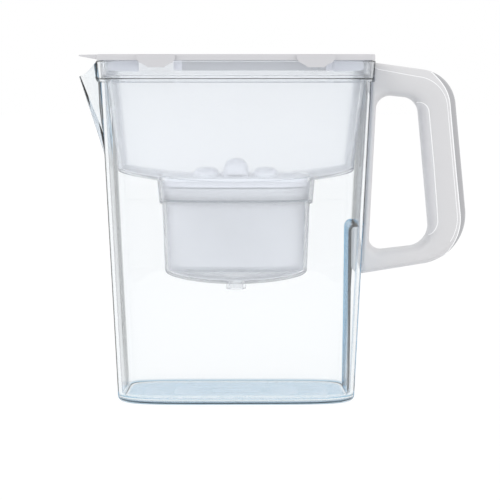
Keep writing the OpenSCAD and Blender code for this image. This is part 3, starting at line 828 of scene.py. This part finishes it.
seal_finish = plastic("seal_rubber", (0.3, 0.31, 0.33), 0.6, 0.1, 0.00005)
seal = stack(closed([cart_level(0.2, SEAT_Z), cart_level(0.2, COLLAR_Z),
                     cart_level(1.8, COLLAR_Z), cart_level(1.8, SEAT_Z)]))
settle(seal, "seal_ring", "cartridge", seal_finish, "cartridge_seal")

# %% [markdown]
# The cap has a knob to lift the cartridge by, two lower humps beside it, and slots
# that let the water in. Domes are stacks too: each level shrinks by one curve.

# %% Cartridge cap


def dome(x, wide, long, high, z):
    levels = []
    for s in np.linspace(0, 1, 12):
        shrink = max((1 - s ** 2.6) ** (1 / 2.6), 0.25)
        levels.append(level(wide / 2 * shrink, long / 2 * shrink, z + high * s, 3))
    made = stack(capped(levels))
    made.data.transform(Matrix.Translation((x * MM, 0, 0)))
    return made


cap = stack(capped(soften([cart_level(0, DECK_Z), cart_level(0, DECK_Z + 2)], {})))
plug = stack(closed([cart_level(CUP_WALL + 0.25, DECK_Z - 4),
                     cart_level(CUP_WALL + 0.25, DECK_Z + 0.1),
                     cart_level(2 * CUP_WALL + 0.25, DECK_Z + 0.1),
                     cart_level(2 * CUP_WALL + 0.25, DECK_Z - 4)]))
carve(cap, "UNION", plug, dome(0, 18.4, 30, 12.4, DECK_Z + 1.9),
      dome(-21, 18, 30, 6, DECK_Z + 1.9), dome(21, 18, 30, 6, DECK_Z + 1.9))
inlets = [block((side * 42.6 - 8, y - 1, DECK_Z - 1), (side * 42.6 + 8, y + 1, DECK_Z + 3))
          for side in (-1, 1) for y in range(-12, 13, 6)]
grips = [block((-7.8, side * 15 - 3, DECK_Z + 2), (7.8, side * 15 + 3, DECK_Z + 3.6))
         for side in (-1, 1)]
carve(cap, "DIFFERENCE", *inlets, *grips)
settle(cap, "cartridge_top", "cartridge", cartridge_finish, "cartridge_cap")

# %% [markdown]
# Two woven screens hold the granules in. A screen repeats one wire, so Geometry
# Nodes make it: a line of points across the screen, a wire on each, as long as the
# oblong is wide there, and the same again the other way, one wire higher.

# %% Woven screens


def compare_side(group, along, half, other, square):
    """Half the length of a wire at a place across the oblong."""
    share = maths(group, "ABSOLUTE", maths(group, "DIVIDE", along, other))
    out = maths(group, "POWER", share, square)
    inner = maths(group, "MAXIMUM", maths(group, "SUBTRACT", 1.0, out), 0.0)
    return maths(group, "MULTIPLY",
                 maths(group, "POWER", inner, maths(group, "DIVIDE", 1.0, square)), half)


def screen_tree():
    sizes = {"Half Length": 0.05, "Half Width": 0.035, "Height": 0.1, "Squareness": 3.4,
             "Pitch": 0.0018, "Wire": 0.0003}
    group, given = start_tree("woven_screen", "Screen", {
        "Geometry": ("Geometry", None), **{key: ("Float", size) for key, size in sizes.items()}})
    join = add(group, "GeometryNodeJoinGeometry")
    for side in (0, 1):
        half = given[("Half Length", "Half Width")[side]]
        other = given[("Half Width", "Half Length")[side]]
        span = maths(group, "SUBTRACT", other, given["Pitch"])
        steps = maths(group, "DIVIDE", maths(group, "MULTIPLY", span, 2.0), given["Pitch"])
        height = maths(group, "ADD", given["Height"],
                       maths(group, "MULTIPLY", given["Wire"], 0.5 + side))
        start, stop = (add(group, "ShaderNodeCombineXYZ", {
            1 - side: maths(group, "MULTIPLY", span, sign), 2: height}).outputs[0]
            for sign in (-1.0, 1.0))
        line = add(group, "GeometryNodeMeshLine", {
            "Count": maths(group, "FLOOR", steps), "Start Location": start, "Offset": stop},
            mode="END_POINTS")
        wire_radius = maths(group, "MULTIPLY", given["Wire"], 0.5)
        strand = add(group, "GeometryNodeMeshCylinder", {
            "Vertices": 6, "Depth": 2, "Radius": wire_radius})
        here = add(group, "GeometryNodeInputPosition").outputs[0]
        along = add(group, "ShaderNodeSeparateXYZ", {0: here}).outputs[1 - side]
        length = compare_side(group, along, half, other, given["Squareness"])
        size = add(group, "ShaderNodeCombineXYZ", {0: 1, 1: 1, 2: length})
        put = add(group, "GeometryNodeInstanceOnPoints", {
            "Points": line.outputs[0], "Instance": strand.outputs["Mesh"], "Scale": size.outputs[0],
            "Rotation": ((0, math.pi / 2, 0), (math.pi / 2, 0, 0))[side]})
        group.links.new(put.outputs[0], join.inputs[0])
    return end_tree(group, join.outputs[0], given["Finish"])


SCREEN_TREE = screen_tree()
mesh_finish = plastic("screen_nylon", (0.62, 0.63, 0.64), 0.45, 0.08, 0.00002)
MEDIA_Z, MEDIA_TOP = 94.6, 150.8
for node, z in (("bottom_mesh", CUP_Z + CUP_FLOOR), ("top_mesh", MEDIA_TOP)):
    edge = cart_level(CUP_WALL + 0.5, z)
    screen = piece_of(node, [(0, 0, 0)], [])
    set_inputs(screen, SCREEN_TREE, half_length=edge[0] * MM, half_width=edge[1] * MM,
               height=z * MM, squareness=POCKET_SQUARE, pitch=0.0018, wire=0.0003,
               finish=mesh_finish)
    settle(bake(screen), node + "_weave", "cartridge", mesh_finish, node)

# %% [markdown]
# The filter bed is thousands of pale resin beads mixed with dark carbon granules.
# Modelling each one inside the bed would show nothing, so a solid core fills it, and
# Geometry Nodes scatter granules over the core's skin with a fixed seed.

# %% Filter bed


def granule_tree():
    group, given = start_tree("granules", "Granules", {
        "Core": ("Geometry", None), "Density": ("Float", 90000.0), "Grain": ("Float", 0.0011),
        "Seed": ("Int", 7)})
    scatter = add(group, "GeometryNodeDistributePointsOnFaces", {
        "Mesh": given["Core"], "Density": given["Density"], "Seed": given["Seed"]})
    radius = maths(group, "MULTIPLY", given["Grain"], 0.5)
    grain = add(group, "GeometryNodeMeshIcoSphere", {"Subdivisions": 1, "Radius": radius})
    size = add(group, "FunctionNodeRandomValue", {
        "Min": 0.6, "Max": 1.0, "Seed": given["Seed"]}, data_type="FLOAT")
    turn = add(group, "FunctionNodeRandomValue", {
        "Max": (6.2, 6.2, 6.2), "Seed": given["Seed"]}, data_type="FLOAT_VECTOR")
    size, turn = ([o for o in made.outputs if o.enabled][0] for made in (size, turn))
    put = add(group, "GeometryNodeInstanceOnPoints", {
        "Points": scatter.outputs["Points"], "Instance": grain.outputs["Mesh"],
        "Rotation": turn, "Scale": size})
    return end_tree(group, put.outputs[0], given["Finish"])


def bed_core(inset):
    return stack(capped([cart_level(CUP_WALL + 0.3 + inset, z)
                         for z in (MEDIA_Z + inset, SEAT_Z - 0.01, COLLAR_Z + 3, MEDIA_TOP - inset)]))


bed_finish = plastic("resin_and_carbon", (0.86, 0.85, 0.83), 0.6, 0.45, 0.0001, 900)
settle(bed_core(0.7), "filter_bed_core", "cartridge", bed_finish)
grains = bed_core(0.7)
set_inputs(grains, granule_tree(), density=90000.0, grain=0.0011, seed=7, finish=bed_finish)
settle(bake(grains), "filter_granules", "cartridge", bed_finish, "filter_media")

# %% [markdown]
# The handle is one closed loop. Its outline and the outline of the finger opening
# have the same number of stations, and at each station a rounded section stands
# between them, so the thickness runs smoothly from the thin spine to the full grip.

# %% Handle frame
ARC, SIDE = 36, 12
SIDE_LEN = ARC + SIDE + 1
HANDLE_HALF, HANDLE_SQUARE, POINTS = 14, 3.2, 40
wall_top, wall_low = (95.18, 237.4), (88.05, 87.6)
knee, heel = (152.78, 229.3), (166.18, 100.2)
outer = outline([wall_top, knee, heel, wall_low], [1.5, 26.6, 35.4, 1.5], ARC, SIDE)
inner = outline([(jug_a(213.7) + 5.3, 214.7), (knee[0] - 24.8, 211.7),
                 (heel[0] - 28.2, 108.4), (jug_a(103.4) + 5.3, 103.4)], [10, 12, 15, 9], ARC, SIDE)


def handle_solid():
    rows = []
    for low, high in zip(inner, outer):
        for j in range(POINTS):
            t = 2 * math.pi * j / POINTS
            reach, side = (math.copysign(abs(share) ** (2 / HANDLE_SQUARE), share)
                           for share in (math.cos(t), math.sin(t)))
            spot = (low + high) / 2 + (high - low) / 2 * reach
            rows.append((spot[0], -HANDLE_HALF * side, spot[1]))
    count = len(inner)
    faces = []
    for here in range(count):
        a, b = here * POINTS, (here + 1) % count * POINTS
        faces += [(a + i, b + i, b + (i + 1) % POINTS, a + (i + 1) % POINTS) for i in range(POINTS)]
    return piece_of("handle", rows, faces)


def station(i, share):
    """A point between the two outlines: share 0 on the finger side, 1 on the outside."""
    i = i % len(inner)
    k, f = int(i), i - int(i)
    n = (k + 1) % len(inner)
    low, high = inner[k] + (inner[n] - inner[k]) * f, outer[k] + (outer[n] - outer[k]) * f
    return low + (high - low) * share


def swell(s):
    return math.sin(math.pi * min(max(s, 0), 1)) ** 0.4


def region(first, last, edge, depth, slack=0.0):
    """A cutter along the handle's back or finger side, deepest in its middle."""
    s = np.linspace(0, 1, 90)
    near = [station(first + (last - first) * t, edge + depth * swell(t) + slack) for t in s]
    far = [station(first + (last - first) * t, edge - 0.4 * math.copysign(1, depth)) for t in s]
    return prism(near + far[::-1], -15, 15, "Y")


RATIO = SIDE_LEN / 14
COVER = (15.6 * RATIO, 35.6 * RATIO, 1.03, -5 / 26 - 0.03)
PAD = (19.6 * RATIO, 31.4 * RATIO, -0.03, 6.4 / 26 + 0.03)
handle = handle_solid()
carve(handle, "DIFFERENCE", block((80, -28, 223.8), (97.3, 28, 252)),
      block((80, -8.2, 202.8), (96.4, 8.2, 224.2)), region(*COVER, slack=-0.006),
      region(*PAD, slack=0.006))
carve(handle, "UNION", block((84.7, -11.5, 91.1), (89.6, 11.5, 121.5)))
settle(handle, "handle_loop", "jug", handle_finish, "handle_frame", 40)
# The back cover takes the darker copy of the handle's plastic: painted shade.
cover = carve(handle_solid(), "INTERSECT", region(*COVER, slack=0.004))
settle(cover, "handle_back", "jug", cover_painted_shade, "handle_cover", 40)
pad = carve(handle_solid(), "INTERSECT", region(*PAD, slack=-0.004))
settle(pad, "finger_pad", "jug", pad_painted_light, "grip_pad", 40)

# %% [markdown]
# Where the handle's mouldings meet, a fine raised bead in pure white runs along the
# joint, a painted highlight that draws the bright line. A line of points follows the joint
# over the rounded side of the handle, and a tree turns the line into a thin round bead.

# %% Parting beads, painted highlights


def bead_tree():
    group, given = start_tree("bead_on_path", "Bead", {
        "Path": ("Geometry", None), "Radius": ("Float", 0.0004)})
    curve = add(group, "GeometryNodeMeshToCurve", {"Mesh": given["Path"]})
    ring = add(group, "GeometryNodeCurvePrimitiveCircle", {
        "Resolution": 8, "Radius": given["Radius"]})
    sweep = add(group, "GeometryNodeCurveToMesh", {
        "Curve": curve.outputs[0], "Profile Curve": ring.outputs[0], "Fill Caps": True})
    return end_tree(group, sweep.outputs[0], given["Finish"])


BEAD_TREE = bead_tree()


def bead(name, first, last, share, radius, side):
    """A bead over stations first to last, at the share of the thickness given for each."""
    path = []
    for t in np.linspace(0, 1, 120):
        at = share(t)
        spot = station(first + (last - first) * t, at)
        out = HANDLE_HALF * (1 - abs(2 * at - 1) ** HANDLE_SQUARE) ** (1 / HANDLE_SQUARE)
        path.append((spot[0], side * (out - radius * 0.3), spot[1]))
    mesh = bpy.data.meshes.new(name)
    mesh.from_pydata((np.array(path) * MM).tolist(), [(i, i + 1) for i in range(119)], [])
    made = bpy.data.objects.new(name, mesh)
    scene.collection.objects.link(made)
    set_inputs(made, BEAD_TREE, radius=radius * MM, finish=bead_painted_highlight)
    return settle(bake(made), name, "jug", bead_painted_highlight)


for side, word in ((-1, "front"), (1, "back")):
    bead("cover_bead_" + word, COVER[0], COVER[1],
         lambda t: min(0.96, COVER[2] + COVER[3] * swell(t)), 0.45, side)
    bead("pad_bead_" + word, PAD[0], PAD[1],
         lambda t: max(0.04, PAD[2] + PAD[3] * swell(t)), 0.35, side)
    bead("arm_bead_" + word, 4.2 * RATIO, COVER[1] - 3 * RATIO,
         lambda t: 0.9 - 0.16 * min(1, 3 * t), 0.25, side)

# %% [markdown]
# The lid is a plate with a softened edge, hollow below, with a skirt at each end that
# drops into the hopper. A tongue reaches over the spout, four finger tabs hang over
# the rim, and the fill chute hangs under the opening. The chute and the skirts are
# seen through the jug, and get lighter copies of the lid's plastic: painted light.

# %% Lid
TOP_Z, FLAP_Z, AXIS_Z, SKIRT_Z = 243.0, 241.1, 240.6, 231.0
HINGE_X, NOTCH, FLAP_END, FLAP_HALF = 38, 3.2, 66, 30
LID_A, LID_B = 96.9, 54.6
TAB_WIDE, TAB_NARROW, TAB_DROP = 24.2, 12, 4.6
PIN_BORE, SCOOP = 1.35, 10.2


def lid_level(inset, z):
    return level(LID_A - inset, LID_B - inset, z)


def skirt_level(inset, z):
    made = band_level(SKIRT_Z, 4.7 + inset)
    made[2:4] = z, POCKET_SQUARE
    return made


def box_outline(x0, x1, half, radius):
    return outline([(x0, -half), (x0, half), (x1, half), (x1, -half)], [radius] * 4, 10)


lid = stack(capped(soften([
    level(LID_A - 8, LID_B - 8, TOP_Z - 2.2, POCKET_SQUARE),
    level(LID_A - 8, LID_B - 8, LID_Z, POCKET_SQUARE),
    skirt_level(1.6, LID_Z),
    skirt_level(1.6, SKIRT_Z),
    skirt_level(0, SKIRT_Z),
    skirt_level(0, LID_Z),
    lid_level(0, LID_Z),
    lid_level(0, TOP_Z),
    lid_level(12, TOP_Z),
], {1: 0.8, 3: 0.5, 4: 0.5, 6: 0.5, 7: 1.1})))
tongue = wrap([(-91.9, y, z) for y in (-19, 19) for z in (239, 242.4)]
              + [(-91.9, y, 242.8) for y in (-18.4, 18.4)]
              + [(-97.9, y, z) for y in (-17.3, 17.3) for z in (239.4, 242.3)]
              + [(-97.9, y, 242.7) for y in (-16.7, 16.7)]
              + circle((-105, 0), 6, 241.6) + circle((-105, 0), 5.4, 242.5))


def tab(x, side):
    s = np.linspace(0, 1, 20)
    flank = [((TAB_WIDE + (TAB_NARROW - TAB_WIDE) * (0.5 - math.cos(math.pi * t) / 2)) / 2,
              LID_Z - TAB_DROP * t) for t in s]
    edge = [(-13.1, 239.7), (-13.1, 242.4), (13.1, 242.4), (13.1, 239.7), *flank]
    edge += [(-p[0], p[1]) for p in flank[::-1]]
    near, far = sorted((side * 55.1, side * 57.3))
    return prism([(x + p[0], p[1]) for p in edge], near, far, "Y")


def tab_root(x, side):
    near, far = sorted((side * 53.6, side * 55.6))
    return block((x - 12.1, near, 238.9), (x + 12.1, far, 242.3))


corners = [(x, side) for x in (-54.1, 54.1) for side in (-1, 1)]
chute = prism(box_outline(-HINGE_X - 5.2, FLAP_END + 2, FLAP_HALF + 2, 6), SKIRT_Z, 241.7, "Z")
carve(lid, "UNION", tongue, chute, *[tab(*c) for c in corners], *[tab_root(*c) for c in corners])
near_x = NOTCH - HINGE_X
carve(lid, "DIFFERENCE",
      *[block((-66.2, y, 229), (66.2, y + 14.6, 238.3)) for y in (-54.6, 40)],
      prism(box_outline(near_x, FLAP_END, FLAP_HALF, 4.5), 230, 239, "Z"),
      prism(box_outline(near_x, FLAP_END - 2.5, FLAP_HALF - 2.5, 3), 229, 250, "Z"),
      prism(box_outline(near_x, FLAP_END + 0.35, FLAP_HALF + 0.35, 4), FLAP_Z, 250, "Z"),
      block((-41.2, -20.4, 229), (-33.8, 20.4, 250)))
pin_bore = [(-HINGE_X + PIN_BORE * math.cos(a), AXIS_Z + PIN_BORE * math.sin(a))
            for a in np.linspace(0, 2 * math.pi, 33)[:-1]]
scoop = [(68 + SCOOP * math.cos(a), 252 + SCOOP * math.sin(a))
         for a in np.linspace(0, 2 * math.pi, 121)[:-1]]
carve(lid, "DIFFERENCE", prism(pin_bore, -24.5, 24.5, "Y"), prism(scoop, -13, 13, "Y"))
settle(lid, "lid_plate", "lid", lid_finish, "lid")
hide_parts("lid_tabs", "lid_skirts")
# The hanging faces take the lighter copies: painted light on the chute and the skirts.
CHUTE_PAINTED_LIGHT, SKIRTS_PAINTED_LIGHT = 1, 2
for finish in (chute_painted_light, skirt_painted_light):
    lid.data.materials.append(finish)
hanging = [f for f in lid.data.polygons
           if f.center.z < (LID_Z - 0.1) * MM and abs(f.center.y) < (LID_B - 1.5) * MM]
for face in hanging:
    beside_flap = abs(face.center.y) < (FLAP_HALF + 4) * MM and abs(face.center.x) < 0.07
    face.material_index = CHUTE_PAINTED_LIGHT if beside_flap else SKIRTS_PAINTED_LIGHT
print("chute and skirt faces", len(hanging))

# %% [markdown]
# The fill flap is a thin plate that turns on a barrel with a pin at each end. Its
# edge and its barrel are round, and a fine bevel takes the sharpness off the rest.

# %% Fill flap
flap = prism(box_outline(-HINGE_X + 4.3, FLAP_END, FLAP_HALF, 4), FLAP_Z, TOP_Z, "Z")
edge = flap.modifiers.new("edge", "BEVEL")
edge.width, edge.segments, edge.limit_method = 0.4 * MM, 3, "ANGLE"
bake(flap)


def rod(radius, half):
    round_edge = [(-HINGE_X + radius * math.cos(a), AXIS_Z + radius * math.sin(a))
                  for a in np.linspace(0, 2 * math.pi, 49)[:-1]]
    return prism(round_edge, -half, half, "Y")


barrel, pins = rod(2.4, 20), rod(1.2, 24)
carve(flap, "UNION", block((-HINGE_X, -20, FLAP_Z), (-32.6, 20, TOP_Z)), barrel, pins)
settle(flap, "fill_flap", "flip_lid", lid_finish, "flip_lid")
